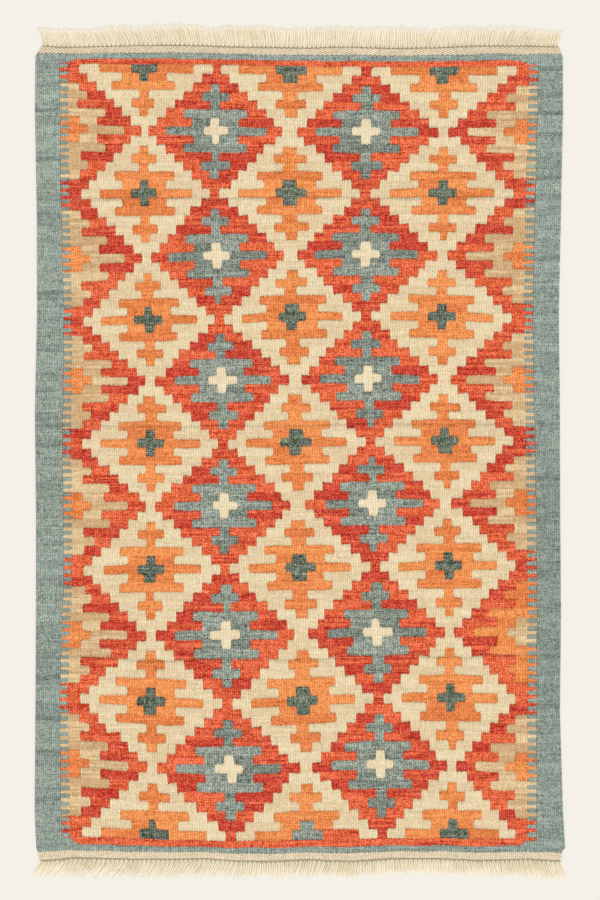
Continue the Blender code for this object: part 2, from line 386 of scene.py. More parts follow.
# ---- the rug's plan ------------------------------------------------------------------------
@dataclass
class Plan:
    """Where each rib and each chart row lies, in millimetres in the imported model's frame."""

    ribs: int = 230
    border: int = 12
    comb: int = 4
    first_middle: float = 19.0
    middle_step: float = 32.0
    left_comb: tuple[float, float] = (-29.0, -12.7)
    right_comb: tuple[float, float] = (14.0, 32.0)
    top_shares: tuple[float, ...] = (0.0, 0.30, 0.63, 1.0)
    bottom_shares: tuple[float, ...] = (0.0, 0.35, 0.65, 1.0)
    first_row: float = -0.5
    last_row: float = 84.5
    pack: float = 2.2
    pack_wave: float = 0.8
    pack_terms: int = 4
    pack_rim: float = 1.5
    draws_in: float = 80.0
    wobble: float = 0.7
    wobble_rim: float = 20.0
    wobble_seeds: tuple[int, int] = (5, 6)
    wobble_waves: tuple[float, float] = (70.0, 90.0)
    shift: np.ndarray = field(default_factory=lambda: np.zeros(2))

    def settle(self) -> None:
        """Moves the plan so that the cloth lies where its solid does."""
        low, high = (np.array(corner)[:2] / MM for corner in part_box(CLOTH_NODE))
        sides, ends = SELVEDGES.columns, END_LINES.columns
        least = np.array([sides["left"].min(), ends["bottom"].min()])
        most = np.array([sides["right"].max(), ends["top"].max()])
        self.shift = 0.5 * (low - least + high - most)

    def from_edge(self) -> np.ndarray:
        """Returns how many ribs stand outside each rib, on its nearer side."""
        rib = np.arange(self.ribs)
        return np.minimum(rib, self.ribs - 1 - rib)

    def beyond(self, rows: np.ndarray) -> np.ndarray:
        """Returns how many bands past the field's edge each row lies, under 0 inside it."""
        return np.maximum(self.first_row - rows, rows - self.last_row)

    def packed(self, chart_at: np.ndarray, row: np.ndarray) -> np.ndarray:
        """Returns how far up each place moves, since wefts pack tighter inside the diamonds.

        They are loosest where the points of two diamonds meet. The move is a sum over n from
        1 to 4 of the height over n, times the cosine of n times the turn across, times the
        sine of n times the turn along, and a lower wave of the two cosines. It dies out at
        the first and the last row.

        Args:
            chart_at: places across in chart columns.
            row: places along in chart rows.

        Returns:
            One row for each chart row.
        """
        across = (TURN / Chart.wide * chart_at)[None, :]
        along = (TURN / Chart.high * row)[:, None]
        move = self.pack_wave * np.cos(across) * np.cos(along)
        for n in range(1, self.pack_terms + 1):
            move = move + self.pack / n * np.cos(n * across) * np.sin(n * along)
        return -move * np.clip(-self.beyond(row) / self.pack_rim, 0.0, 1.0)[:, None]

    def field_place(self, rib: np.ndarray, row: np.ndarray) -> tuple[np.ndarray, np.ndarray]:
        """Returns where ribs cross chart rows inside the patterned field.

        Along, a point lies on the cubic through the levels of its row. Across, it lies
        between the selvedge, the two edges of the comb and the middle lines of its row.

        Args:
            rib: places across in ribs, from the left selvedge.
            row: places along in chart rows, from the top.

        Returns:
            The places across and the places along, one row for each chart row.
        """
        middles = smooth(row, DRIFT_ROWS, DRIFT)
        levels = smooth(row, LEVEL_ROWS, LEVELS)
        chart_at = (rib - self.first_middle) / Chart.ribs_in_cell
        held = np.clip(chart_at, LEVEL_COLUMNS[0] - 1.0, LEVEL_COLUMNS[-1] + 1.0)
        y = smooth(held, LEVEL_COLUMNS, levels.T).T + self.packed(chart_at, row)
        inner = self.first_middle + self.middle_step * np.arange(middles.shape[1])
        outer = np.array([0.0, self.border, self.border + self.comb])
        stations = np.concatenate([outer, inner, self.ribs - outer[::-1]])
        places = np.concatenate(
            [
                SELVEDGES.read(y[:, :1], "left"),
                middles[:, :1] + np.array(self.left_comb),
                middles,
                middles[:, -1:] + np.array(self.right_comb),
                SELVEDGES.read(y[:, -1:], "right"),
            ],
            axis=1,
        )
        at = np.clip(np.searchsorted(stations, rib, side="right") - 1, 0, len(stations) - 2)
        part = (rib - stations[at]) / (stations[at + 1] - stations[at])
        return places[:, at] * (1.0 - part) + places[:, at + 1] * part, y

    def place(self, rib: np.ndarray, row: np.ndarray) -> tuple[np.ndarray, np.ndarray]:
        """Returns where ribs cross chart rows, the three bands at each end among them.

        A row in a band lies between the field's last row and the end line by the band's
        share. Where a selvedge draws in, the ribs near it follow, the less the further in
        they are. A small seeded wave is added, which dies out at the rim.

        Args:
            rib: places across in ribs, from the left selvedge.
            row: places along in chart rows; the bands are rows -3.5 to -0.5 and 84.5 to 87.5.

        Returns:
            The places across and the places along, one row for each chart row.
        """
        x, y = self.field_place(rib, np.clip(row, self.first_row, self.last_row))
        left = SELVEDGES.read(y[:, :1], "left")
        right = SELVEDGES.read(y[:, -1:], "right")
        share = (x - left) / (right - left)
        steps = np.arange(4.0)
        above = np.interp(self.first_row - row, steps, self.top_shares)[:, None]
        below = np.interp(row - self.last_row, steps, self.bottom_shares)[:, None]
        y = y + above * (END_LINES.read(share, "top") - y)
        y = y + below * (END_LINES.read(share, "bottom") - y)
        by_left = np.clip(1.0 - (x - left) / self.draws_in, 0.0, 1.0)
        by_right = np.clip(1.0 - (right - x) / self.draws_in, 0.0, 1.0)
        x = x + by_left * (SELVEDGES.read(y[:, :1], "left") - left)
        x = x + by_right * (SELVEDGES.read(y[:, -1:], "right") - right)
        calm = np.clip(np.minimum(x - x[:, :1], x[:, -1:] - x) / self.wobble_rim, 0.0, 1.0)
        calm = calm * np.clip((END_AT - np.abs(y)) / self.wobble_rim, 0.0, 1.0)
        across, along = (
            self.wobble * calm * ripple(x, y, seed, longest)
            for seed, longest in zip(self.wobble_seeds, self.wobble_waves, strict=True)
        )
        return x + across + self.shift[0], y + along + self.shift[1]


# ---- shader maths --------------------------------------------------------------------------
Value = "Wire | float"


def operator(operation: str, reflected: bool = False) -> Callable:
    """Returns the method of one of Python's operators.

    Args:
        operation: the Math node's operation.
        reflected: whether the wire stands on the operator's right.

    Returns:
        The method, which adds a Math node.
    """

    def method(self: Wire, other: Value) -> Wire:
        """Adds the node."""
        return self.graph.math(operation, *((other, self) if reflected else (self, other)))

    return method


class Wire:
    """A node's output, on which Python's operators add Math nodes."""

    __add__ = operator("ADD")
    __radd__ = operator("ADD", reflected=True)
    __sub__ = operator("SUBTRACT")
    __rsub__ = operator("SUBTRACT", reflected=True)
    __mul__ = operator("MULTIPLY")
    __rmul__ = operator("MULTIPLY", reflected=True)
    __truediv__ = operator("DIVIDE")
    __pow__ = operator("POWER")

    def __init__(self, graph: Graph, socket: bpy.types.NodeSocket) -> None:
        """Keeps the graph and the output."""
        self.graph = graph
        self.socket = socket


class Graph:
    """One material's node tree."""

    def __init__(self, name: str) -> None:
        """Makes a material.

        Args:
            name: the material's name.
        """
        self.material = bpy.data.materials.new(name)
        self.material.use_nodes = True
        self.tree = self.material.node_tree

    def join(self, node: bpy.types.Node, sockets: dict) -> None:
        """Gives a node's inputs their wires or their own values.

        Args:
            node: the node.
            sockets: values or wires, by an input's name or place.
        """
        for key, value in sockets.items():
            if isinstance(value, Wire):
                self.tree.links.new(value.socket, node.inputs[key])
            else:
                node.inputs[key].default_value = value

    def node(self, kind: str, settings: dict, sockets: dict, output: int | str = 0) -> Wire:
        """Adds any node.

        Args:
            kind: the node's type.
            settings: its own settings, which are set first.
            sockets: values or wires for its inputs, by name or by place.
            output: which of its outputs is read.

        Returns:
            That output.
        """
        made = self.tree.nodes.new(kind)
        for name, value in settings.items():
            setattr(made, name, value)
        self.join(made, sockets)
        return Wire(self, made.outputs[output])

    def finish(self, sockets: dict) -> bpy.types.Material:
        """Gives the shader's inputs their wires or values, and returns the material."""
        self.join(self.tree.nodes["Principled BSDF"], sockets)
        return self.material

    def math(self, operation: str, *values: Value) -> Wire:
        """Adds a Math node."""
        return self.node("ShaderNodeMath", {"operation": operation}, dict(enumerate(values)))

    def vector(self, operation: str, sockets: dict) -> Wire:
        """Adds a Vector Math node."""
        return self.node("ShaderNodeVectorMath", {"operation": operation}, sockets)

    def attribute(self, name: str, output: str = "Fac") -> Wire:
        """Reads one of the mesh's attributes."""
        return self.node("ShaderNodeAttribute", {"attribute_name": name}, {}, output)

    @cached_property
    def weave(self) -> tuple[Wire, Wire]:
        """Reads the piece's own map, once for each material.

        Returns:
            Its two coordinates.
        """
        uv = self.node("ShaderNodeUVMap", {"uv_map": UV_NAME}, {})
        first, second = (self.node("ShaderNodeSeparateXYZ", {}, {0: uv}, n) for n in (0, 1))
        return first, second

    def point(self, x: Value, y: Value, z: Value = 0.0) -> Wire:
        """Puts three values together as a vector."""
        return self.node("ShaderNodeCombineXYZ", {}, {0: x, 1: y, 2: z})

    def noise(self, vector: Wire, detail: float, rough: float = 0.5) -> Wire:
        """Returns smooth noise from 0 to 1 over a vector already at its scale."""
        sockets = {"Vector": vector, "Scale": 1.0, "Detail": detail, "Roughness": rough}
        return self.node("ShaderNodeTexNoise", {"noise_dimensions": "3D"}, sockets, "Fac")

    def step(self, value: Wire, low: float, high: float) -> Wire:
        """Returns 0 below low and 1 above high, with a smooth rise between."""
        sockets = {"Value": value, "From Min": low, "From Max": high, "To Min": 0.0, "To Max": 1.0}
        return self.node("ShaderNodeMapRange", {"interpolation_type": "SMOOTHSTEP"}, sockets)

    def mix(self, share: Value, first: object, second: object) -> Wire:
        """Mixes two colours by a share of the second."""
        return self.node("ShaderNodeMix", {"data_type": "RGBA"}, {0: share, 6: first, 7: second}, 2)

    def scale(self, colour: Wire, tone: Value) -> Wire:
        """Makes a colour lighter or darker by a factor."""
        return self.vector("SCALE", {0: colour, "Scale": tone})

    def tint(self, colour: Wire, factors: Wire) -> Wire:
        """Multiplies a colour by another, channel by channel."""
        return self.vector("MULTIPLY", {0: colour, 1: factors})

    def add(self, colour: Wire, other: Wire) -> Wire:
        """Adds two colours, and keeps the sum above black."""
        return self.vector("MAXIMUM", {0: self.vector("ADD", {0: colour, 1: other}), 1: BLACKEST})

    def bump(self, height: Wire, distance: float, strength: float) -> Wire:
        """Returns the normals of a small relief."""
        sockets = {"Height": height, "Distance": distance, "Strength": strength}
        return self.node("ShaderNodeBump", {}, sockets)


@dataclass(frozen=True)
class Light:
    """How bright the studio makes a level surface, for turning seen colours into dyes."""

    sky: float = 0.82
    sun: float = 0.27
    sun_tilt: float = 38.0
    sun_turn: float = 35.0
    sun_spread: float = 50.0

    def dye(self, colour: Sequence[float]) -> np.ndarray:
        """Returns the surface colour that shows as the seen one on a level surface."""
        level = self.sky + self.sun * math.cos(math.radians(self.sun_tilt))
        return linear(colour) / level


@dataclass(frozen=True)
class WoolFinish:
    """Ribbed wool: yarn colours from the chart, with streaks, flecks and beads, and painted shade
    in the grooves and along the seams.

    Sizes across are in ribs and sizes along in millimetres, and the rest are shares. A pair
    of numbers is where a smooth rise or fall starts and ends.
    """

    light: Light
    shade: float = 0.86
    streak_across: float = 20.0
    streak_along: float = 6.5
    streak_rise: tuple[float, float] = (0.36, 0.64)
    lot: float = 0.13
    rib_tone: float = 0.36
    weft_tone: float = 0.40
    fleck: float = 0.98
    fleck_fine: float = 0.64
    painted_fibre_sheen: float = 0.20
    rib_jump: float = 5.17
    half_jump: float = 7.31
    rib_long: float = 15.0
    fleck_long: float = 2.3
    fine_in_rib: float = 2.6
    weft_wide: float = 14.0
    weft_high: float = 1.7
    # painted shade: how much darker the rib valleys and the webs' furrows are made
    painted_groove_shade: float = 0.18
    groove_shade_by_fleck: float = 0.17
    groove_narrow: float = 2.5
    # painted shade along slits and along the seams between rows of other yarns
    slit: float = 0.26
    heather: float = 0.42
    spots_in_rib: float = 1.1
    spots_less_in_web: float = 0.8
    spot: float = 3.0
    # painted shade in the slit beside the border and along the line round the comb's teeth
    comb_slit_shade: float = 0.25
    comb_line_shade: float = 0.30
    comb_middle: float = 2.0
    comb_half: float = 1.98
    bead_half: float = 0.27
    bead_rough: float = 2.4
    bead_ragged: float = 0.8
    bead_ragged_long: float = 2.6
    bead_rise: tuple[float, float] = (0.6, 1.3)
    line_rise: tuple[float, float] = (0.35, 0.95)
    line_fall: tuple[float, float] = (1.0, 2.0)
    slit_fall: tuple[float, float] = (0.08, 0.40)
    weft: float = 1.25
    weft_round: float = 0.6
    stroke: float = 4.1
    stroke_ribs: float = 0.5
    # painted shade in the webs: how much of the deep colour stays on the crests, and how sharp the
    # wrapped strokes' furrows are
    web_base: float = 0.33
    web_groove_shade: float = 0.4
    wrap_edge: float = 0.1
    fibres_in_rib: float = 3.0
    fibre: float = 0.5
    rough: float = 0.84
    rough_by_fibre: float = 0.14
    relief: float = 0.5
    ribs: float = 230.0
    to_comb: float = 99.0

    def dye(self, colour: Sequence[float]) -> tuple[float, float, float, float]:
        """Returns the dye that shows as the seen colour once the painted groove shade and the
        grooves' real shadows have darkened it.
        """
        return (*(self.light.dye(colour) / self.shade), 1.0)

    def comb_share(self, graph: Graph) -> tuple[Wire, Wire, Wire]:
        """Returns where the border's slate yarn shows in the comb, and the painted shade line round
        it.

        In the comb the border's yarn and the field's meet on shared warps by turns, so the
        slate shows as a row of teeth with rounded points. A tooth is where the fourth power
        of the distance along, over half its height, plus the fourth power of the distance
        from the comb's middle towards the field, over half its width, is under 1.

        Args:
            graph: the material's nodes.

        Returns:
            The slate's share, the share of the painted shade line round the teeth and the share of
            the painted shade in the slit beside the border.
        """
        rib, along = graph.weave
        reach = graph.math("ABSOLUTE", rib - 0.5 * self.ribs) - self.to_comb
        turn = graph.math("FRACT", graph.attribute("bead") + 0.5) - 0.5
        high = (turn / self.bead_half) ** 4.0
        wide = graph.math("MAXIMUM", (self.comb_middle - reach) / self.comb_half, 0.0) ** 4.0
        ragged = graph.point(rib * self.bead_ragged, along / self.bead_ragged_long)
        rough = graph.noise(ragged, 2.0) * self.bead_rough
        shape = high + wide + rough - 0.5 * self.bead_rough
        inside = 1.0 - graph.step(shape, *self.bead_rise)
        line = graph.step(shape, *self.line_rise) * (1.0 - graph.step(shape, *self.line_fall))
        beside = graph.math("ABSOLUTE", reach - 2.0 * self.comb_middle)
        return inside, line, 1.0 - graph.step(beside, *self.slit_fall)

    def flecked(self, graph: Graph, colour: Wire) -> Wire:
        """Adds the flecks of a hand-spun yarn to its colour.

        A fleck is a share of the colour itself and a smaller share of plain white, a painted
        sheen for the light that loose fibres catch. Most flecks are half a rib wide and short. Each
        rib has a long one of its own too, and single wefts show as thin lines across.

        Args:
            graph: the material's nodes.
            colour: the yarn's colour.

        Returns:
            The flecked colour.
        """
        rib, along = graph.weave
        whole = graph.math("FLOOR", rib) * self.rib_jump
        half = graph.math("FLOOR", rib * 2.0) * self.half_jump
        kinds = (
            (graph.point(whole, along / self.rib_long, 7.0), 1.0, self.rib_tone),
            (graph.point(half, along / self.fleck_long, 3.0), 1.0, self.fleck),
            (graph.point(rib * self.fine_in_rib, along), 2.0, self.fleck_fine),
            (graph.point(rib / self.weft_wide, along / self.weft_high, 5.0), 1.0, self.weft_tone),
        )
        flecks = sum((graph.noise(at, detail) - 0.5) * share for at, detail, share in kinds)
        flecks = flecks * graph.attribute("fleck")
        # painted sheen: plain white that goes with the flecks, taken off where they are below 0
        white = flecks * self.painted_fibre_sheen
        return graph.add(graph.scale(colour, 1.0 + flecks), graph.point(white, white, white))

    def hue(self, graph: Graph, web: Wire) -> Wire:
        """Returns factors that carry the colour a little warmer or cooler in small spots.

        Args:
            graph: the material's nodes.
            web: the share of web, where the spots are wider.

        Returns:
            A factor for each channel, with green's at 1.
        """
        rib, along = graph.weave
        across = rib * (self.spots_in_rib - self.spots_less_in_web * web)
        spread = graph.attribute("heather") * self.heather
        warm, cool = (
            1.0 + (graph.noise(graph.point(across + off, along / self.spot), 2.0) - 0.5) * spread
            for off in (50.0, 90.0)
        )
        return graph.point(warm, 1.0, cool)

    def make(self) -> bpy.types.Material:
        """Makes the material.

        A furrow follows the valley between two ribs, and the wrapped yarns in the top web,
        where the map is above 0 along. The yarn's colour goes from pale to deep with the
        streaks in the field, and with the furrows in the webs as painted shade. The furrows,
        the seams and the comb's outline also darken the tone, as painted shade.

        Returns:
            The material.
        """
        graph = Graph("kilim_wool")
        rib, along = graph.weave
        crest = graph.math("SINE", graph.math("FRACT", rib) * math.pi)
        web = graph.attribute("web")
        comb = graph.attribute("comb")
        strokes = (rib * self.stroke_ribs + along / self.stroke) * TURN
        oblique = 0.5 + 0.5 * graph.math("COSINE", strokes)
        wrapped = web * graph.math("GREATER_THAN", along, 0.0)
        plain = 1.0 - wrapped
        furrow = ((1.0 - crest) ** self.groove_narrow) * plain + oblique * wrapped
        drift = graph.point(rib / self.streak_across, along / self.streak_along)
        streaks = graph.noise(drift, 3.0, 0.6) + graph.attribute("lot") * self.lot
        deep = graph.step(streaks, *self.streak_rise)
        # painted shade: in the webs the colour goes to the deep yarn in the furrows between ribs
        # and between wrapped strokes
        wrapped_furrow_shade = furrow * (1.0 + 2.0 * self.wrap_edge) - self.wrap_edge
        web_furrow_shade = (furrow + self.web_base * (1.0 - furrow)) * plain + wrapped_furrow_shade * wrapped
        deep = deep * (1.0 - web) + web_furrow_shade * web
        colour = graph.mix(deep, graph.attribute("pale", "Color"), graph.attribute("deep", "Color"))
        slate = Dye.SLATE.value
        beads = graph.mix(deep, self.dye(slate.pale), self.dye(slate.deep))
        inside, line, beside = self.comb_share(graph)
        colour = self.flecked(graph, graph.mix(inside * comb, colour, beads))
        # painted shade in the rib valleys, weaker in the webs' furrows
        painted_groove_shade = self.painted_groove_shade + graph.attribute("fleck") * self.groove_shade_by_fleck
        tone = 1.0 - furrow * (1.0 - web * (1.0 - self.web_groove_shade)) * painted_groove_shade
        # painted shade along slits and colour seams
        tone = tone * (1.0 - (graph.attribute("slit") ** 4.0) * self.slit)
        # painted shade round the comb's teeth and in the slit beside the border
        tone = tone * (1.0 - line * comb * self.comb_line_shade) * (1.0 - beside * comb * self.comb_slit_shade)
        hue = self.hue(graph, web)
        fibre = graph.noise(graph.point(rib * self.fibres_in_rib, along / self.fibre), 3.0)
        lap = (along / self.weft + graph.math("FLOOR", rib) * 0.5) * math.pi
        weft = graph.math("ABSOLUTE", graph.math("COSINE", lap)) ** self.weft_round
        return graph.finish(
            {
                "Base Color": graph.tint(graph.scale(colour, tone), hue),
                "Roughness": self.rough + fibre * self.rough_by_fibre,
                "Specular IOR Level": 0.18,
                "Sheen Weight": 0.08,
                "Sheen Roughness": 0.6,
                "Normal": graph.bump(weft * crest + fibre * 0.5, self.relief * MM, 0.45),
            }
        )


@dataclass(frozen=True)
class CottonFinish:
    """Plied undyed cotton: a warm white with a tone of its own for each yarn, and painted shade at
    the roots, along the plies and on the under layer in the gaps.
    """

    light: Light
    name: str
    pale: tuple[int, int, int]
    deep: tuple[int, int, int]
    tips: tuple[int, int, int]
    shade: float = 0.86
    lightest: float = 0.97
    ply_length: float = 3.2
    painted_ply_shade: float = 0.04
    fibre_tone: float = 0.20
    fibres_round: float = 9.0
    fibre: float = 0.7
    blotch: float = 9.0
    blotch_share: float = 0.9
    blot_share: float = 0.15
    lot_share: float = 0.9
    root_shade: float = 0.02
    root_shade_by_lot: float = 0.28
    lot_jumps: tuple[float, float] = (40.0, 30.0)
    rough: float = 0.82
    rough_by_fibre: float = 0.14
    relief: float = 0.3
    deep_rise: tuple[float, float] = (0.45, 1.15)
    tip_rise: tuple[float, float] = (0.55, 0.98)

    def dye(self, colour: Sequence[float]) -> tuple[float, float, float, float]:
        """Returns the dye that shows as the seen colour, or the lightest cotton of its hue."""
        wanted = self.light.dye(colour) / self.shade
        return (*(wanted * min(1.0, self.lightest / wanted.max())), 1.0)

    def make(self) -> bpy.types.Material:
        """Makes the material. The map runs once round a yarn, and along it in millimetres.

        Returns:
            The material.
        """
        graph = Graph(self.name)
        around, along = graph.weave
        lot = graph.attribute("lot")
        first, second = self.lot_jumps
        blotch = graph.noise(graph.point(lot * first, along / self.blotch), 2.0)
        blotch = blotch * self.blotch_share + graph.attribute("blot") * self.blot_share
        # a high lot, as the under layer's yarns have, gives the deep colour as painted shade in the
        # gaps; the blotches give each yarn a random tone
        share = graph.step(blotch + lot * self.lot_share, *self.deep_rise)
        colour = graph.mix(share, self.dye(self.pale), self.dye(self.deep))
        tip = graph.step(graph.attribute("tip"), *self.tip_rise)
        colour = graph.mix(tip, colour, self.dye(self.tips))
        ply = graph.math("SINE", (around * 2.0 - along / self.ply_length) * TURN)
        fibres = graph.point(around * self.fibres_round, along / self.fibre, lot * second)
        fibre = graph.noise(fibres, 3.0)
        # painted shade in the grooves between plies, and lighter on their crests
        tone = 1.0 + ply * self.painted_ply_shade + (fibre - 0.5) * self.fibre_tone
        # painted shade near the roots, more on yarns of a high lot
        tone = tone * (1.0 - graph.attribute("root") * (self.root_shade + lot * self.root_shade_by_lot))
        return graph.finish(
            {
                "Base Color": graph.scale(colour, tone),
                "Roughness": self.rough + fibre * self.rough_by_fibre,
                "Specular IOR Level": 0.2,
                "Sheen Weight": 0.1,
                "Normal": graph.bump(ply * 0.5 + fibre, self.relief * MM, 0.5),
            }
        )


# ---- meshes --------------------------------------------------------------------------------
@dataclass
class Surface:
    """A mesh under way: points in millimetres, its faces' corners and what they carry."""

    name: str
    points: np.ndarray
    faces: list[np.ndarray]
    uv: np.ndarray
    flat: list[bool]
    on_points: dict[str, np.ndarray]
    on_faces: dict[str, np.ndarray]

    def place(self, material: bpy.types.Material, slot: str, node: str = "") -> bpy.types.Object:
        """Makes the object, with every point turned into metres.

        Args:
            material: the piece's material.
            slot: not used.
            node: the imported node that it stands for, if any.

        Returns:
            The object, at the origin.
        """
        corners = np.concatenate([group.ravel() for group in self.faces])
        counts = [len(group) for group in self.faces]
        sizes = np.repeat([group.shape[1] for group in self.faces], counts)
        mesh = bpy.data.meshes.new(self.name)
        mesh.vertices.add(len(self.points))
        mesh.loops.add(len(corners))
        mesh.polygons.add(len(sizes))
        mesh.vertices.foreach_set("co", (self.points * MM).astype(np.float32).ravel())
        mesh.loops.foreach_set("vertex_index", corners.astype(np.int32))
        starts = np.concatenate([[0], np.cumsum(sizes)[:-1]])
        mesh.polygons.foreach_set("loop_start", starts.astype(np.int32))
        mesh.update(calc_edges=True)
        mesh.polygons.foreach_set("use_smooth", ~np.repeat(self.flat, counts))
        layer = mesh.uv_layers.new(name=UV_NAME)
        layer.data.foreach_set("uv", self.uv[corners].astype(np.float32).ravel())
        for domain, carried in (("POINT", self.on_points), ("FACE", self.on_faces)):
            for name, values in carried.items():
                kind, key = "FLOAT", "value"
                if values.ndim > 1:
                    kind, key = "FLOAT_COLOR", "color"
                    values = np.column_stack([values, np.ones(len(values))])
                data = mesh.attributes.new(name, kind, domain).data
                data.foreach_set(key, values.astype(np.float32).ravel())
        mesh.validate()
        mesh.update()
        mesh.materials.append(material)
        piece = stand(self.name, mesh)
        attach(piece, BODY)
        if node:
            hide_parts(node)
        return piece


def quads(grid: np.ndarray, turned: bool) -> np.ndarray:
    """Works out the quads between the points of a grid.

    Args:
        grid: the points' numbers, by row and column.
        turned: whether a quad goes along its row first, and not down its column.

    Returns:
        Four corners for each quad.
    """
    corners = [grid[:-1, :-1], grid[1:, :-1], grid[1:, 1:], grid[:-1, 1:]]
    order = (0, 3, 2, 1) if turned else (0, 1, 2, 3)
    return np.stack([corners[n] for n in order], -1).reshape(-1, 4)


@dataclass
class Cloth:
    """The woven cloth: ribs on both faces, slits at the steps, thinner webs at the ends."""

    plan: Plan
    chart: Chart
    finish: WoolFinish
    top_columns: tuple[float, ...] = (0.0, 0.22, 0.5, 0.78)
    under_columns: tuple[float, ...] = (0.0, 0.5)
    lines_in_row: int = 2
    top_web_lines: int = 12
    bottom_web_lines: int = 5
    blue_lines: int = 3
    red_lines: int = 4
    sections: int = 4
    valley: float = 2.2
    crest: float = 3.0
    web_valley: float = 1.65
    web_crest: float = 2.35
    web_from: float = 2.001
    full: float = 0.8
    slit_depth: float = 0.6
    under_valley: float = 0.5
    rim_top: float = 1.9
    rim_under: float = 1.1
    rim_line: float = 0.03
    lap: float = 0.6
    web_lap: float = 1.7
    band_lots: tuple[float, float] = (-0.6, 0.1)
    corner_across: float = 0.55
    corner_along: float = 0.5
    arm_end: float = 1.0
    lift: float = 0.35
    lift_wave: float = 430.0
    lift_seed: int = 9
    corner_ribs: float = 3.0
    guard_bend: float = 0.3
    lot_seed: int = 31
    lot_most: float = 2.0
    lots_in_row: int = 200
    rows_before: int = 8

    def __post_init__(self) -> None:
        """Works out the grid's lines and columns, and the yarn of each rib between lines."""
        first, last = self.plan.first_row, self.plan.last_row
        parts = [
            [first - 3.0],
            np.linspace(first - 3.0 + self.rim_line, first - 2.0, self.top_web_lines + 1),
            np.linspace(first - 2.0, first - 1.0, self.blue_lines + 1)[1:],
            np.linspace(first - 1.0, first, self.red_lines + 1)[1:],
            np.linspace(first, last, self.chart.along * self.lines_in_row + 1)[1:],
            np.linspace(last, last + 1.0, self.red_lines + 1)[1:],
            np.linspace(last + 1.0, last + 2.0, self.blue_lines + 1)[1:],
            np.linspace(last + 2.0, last + 3.0 - self.rim_line, self.bottom_web_lines + 1)[1:],
            [last + 3.0],
        ]
        self.line_rows = np.concatenate(parts)
        self.between = 0.5 * (self.line_rows[1:] + self.line_rows[:-1])
        whole = np.arange(self.plan.ribs)[:, None]
        self.top_ribs, self.under_ribs = (
            np.append((whole + np.array(columns)).ravel(), self.plan.ribs)
            for columns in (self.top_columns, self.under_columns)
        )
        self.yarn = self.yarns()

    def yarns(self) -> np.ndarray:
        """Returns the yarn of each rib between each two lines.

        The field follows the chart, the border and the outer bands are slate, and the red
        guard line starts at the comb's outer edge. Further out it starts past the comb, by
        its corner's ribs times the third power of the share of its height.

        Returns:
            Places in DYES, one row for each space between lines.
        """
        from_edge = self.plan.from_edge()
        beyond = self.plan.beyond(self.between)
        row = np.clip(np.rint(self.between).astype(int), 0, self.chart.along - 1)
        yarn = self.chart.on_ribs(self.plan.ribs)[row]
        yarn[:, from_edge < self.plan.border] = Dye.SLATE.number
        reach = self.plan.border + self.plan.comb * (beyond > self.guard_bend)
        reach = reach + self.corner_ribs * np.clip(beyond, 0.0, 1.0) ** 3
        guard = (beyond > 0.0)[:, None] & (from_edge[None, :] >= reach[:, None])
        yarn[beyond > 0.0] = Dye.SLATE.number
        yarn[guard & (beyond < 1.0)[:, None]] = Dye.RED.number
        yarn[beyond > self.web_from] = Dye.WEB.number
        return yarn

    def looks(self) -> dict[str, np.ndarray]:
        """Returns what each rib carries between each two lines.

        Each unbroken run of one yarn in a chart row was woven from one length, so it has one
        lot, a seeded normal draw, and one tone: 1 plus the lot times the yarn's own spread.
        The slate band at either end has a lot of its own, and the borders have their tones
        and their darker wefts.

        Returns:
            The material's attributes by name, one row for each space between lines.
        """
        new_run = np.ones(self.yarn.shape, bool)
        new_run[:, 1:] = self.yarn[:, 1:] != self.yarn[:, :-1]
        row = np.rint(self.between).astype(int) + self.rows_before
        number = np.cumsum(new_run, axis=1) + self.lots_in_row * row[:, None]
        draw = np.random.default_rng(self.lot_seed).normal(0.0, 1.0, int(number.max()) + 1)
        lot = np.clip(draw[number], -self.lot_most, self.lot_most)
        beyond = self.plan.beyond(self.between)
        lot[(beyond > 1.0) & (self.between < 0.0)] = self.band_lots[0]
        lot[(beyond > 1.0) & (self.between > 0.0)] = self.band_lots[1]
        spread, fleck, heather = (
            np.array([getattr(dye.value, name) for dye in DYES])[self.yarn]
            for name in ("lots", "fleck", "heather")
        )
        pale, deep = (
            np.array([self.finish.dye(getattr(dye.value, name))[:3] for dye in DYES])[self.yarn]
            for name in ("pale", "deep")
        )
        tone = ((1.0 + lot * spread) * self.border_tones())[..., None]
        from_edge = self.plan.from_edge() - self.plan.border
        in_comb = (from_edge >= 0) & (from_edge < self.plan.comb)
        return {
            "pale": pale * tone,
            "deep": deep * tone,
            "lot": lot,
            "fleck": fleck,
            "heather": heather,
            "comb": (beyond < 1.0)[:, None] * in_comb.astype(float),
            "web": (beyond > self.web_from)[:, None] * np.ones(self.yarn.shape),
        }

    def border_tones(self) -> np.ndarray:
        """Returns how light each rib is between each two lines, other than 1 in the borders.

        Returns:
            Factors, one row for each space between lines.
        """
        tone = np.ones(self.yarn.shape)
        half = 0.5 * self.plan.border
        _, along = self.plan.place(np.array([half, self.plan.ribs - half]), self.between)
        along = along - self.plan.shift[1]
        borders = (slice(0, self.plan.border), slice(self.plan.ribs - self.plan.border, None))
        for side, at, border in zip(SIDES, along.T, borders, strict=True):
            tone[:, border] = BORDER_TONES.read(at, side)[:, None]
            for place, share in STREAKS[side]:
                tone[np.argmin(np.abs(at - place)), border] *= share
        return np.where(self.yarn == Dye.SLATE.number, tone, 1.0)

    def beads(self, ribs: np.ndarray, along: np.ndarray) -> np.ndarray:
        """Counts the border's beads above each point, in the comb.

        Args:
            ribs: the grid's columns, in ribs.
            along: the places of its points along.

        Returns:
            The counts, with their fractions.
        """
        at = along - self.plan.shift[1]
        left, right = (COMB.read(at, f"{side}_beads", side) for side in SIDES)
        return np.where(ribs[None, :] < 0.5 * self.plan.ribs, left, right)

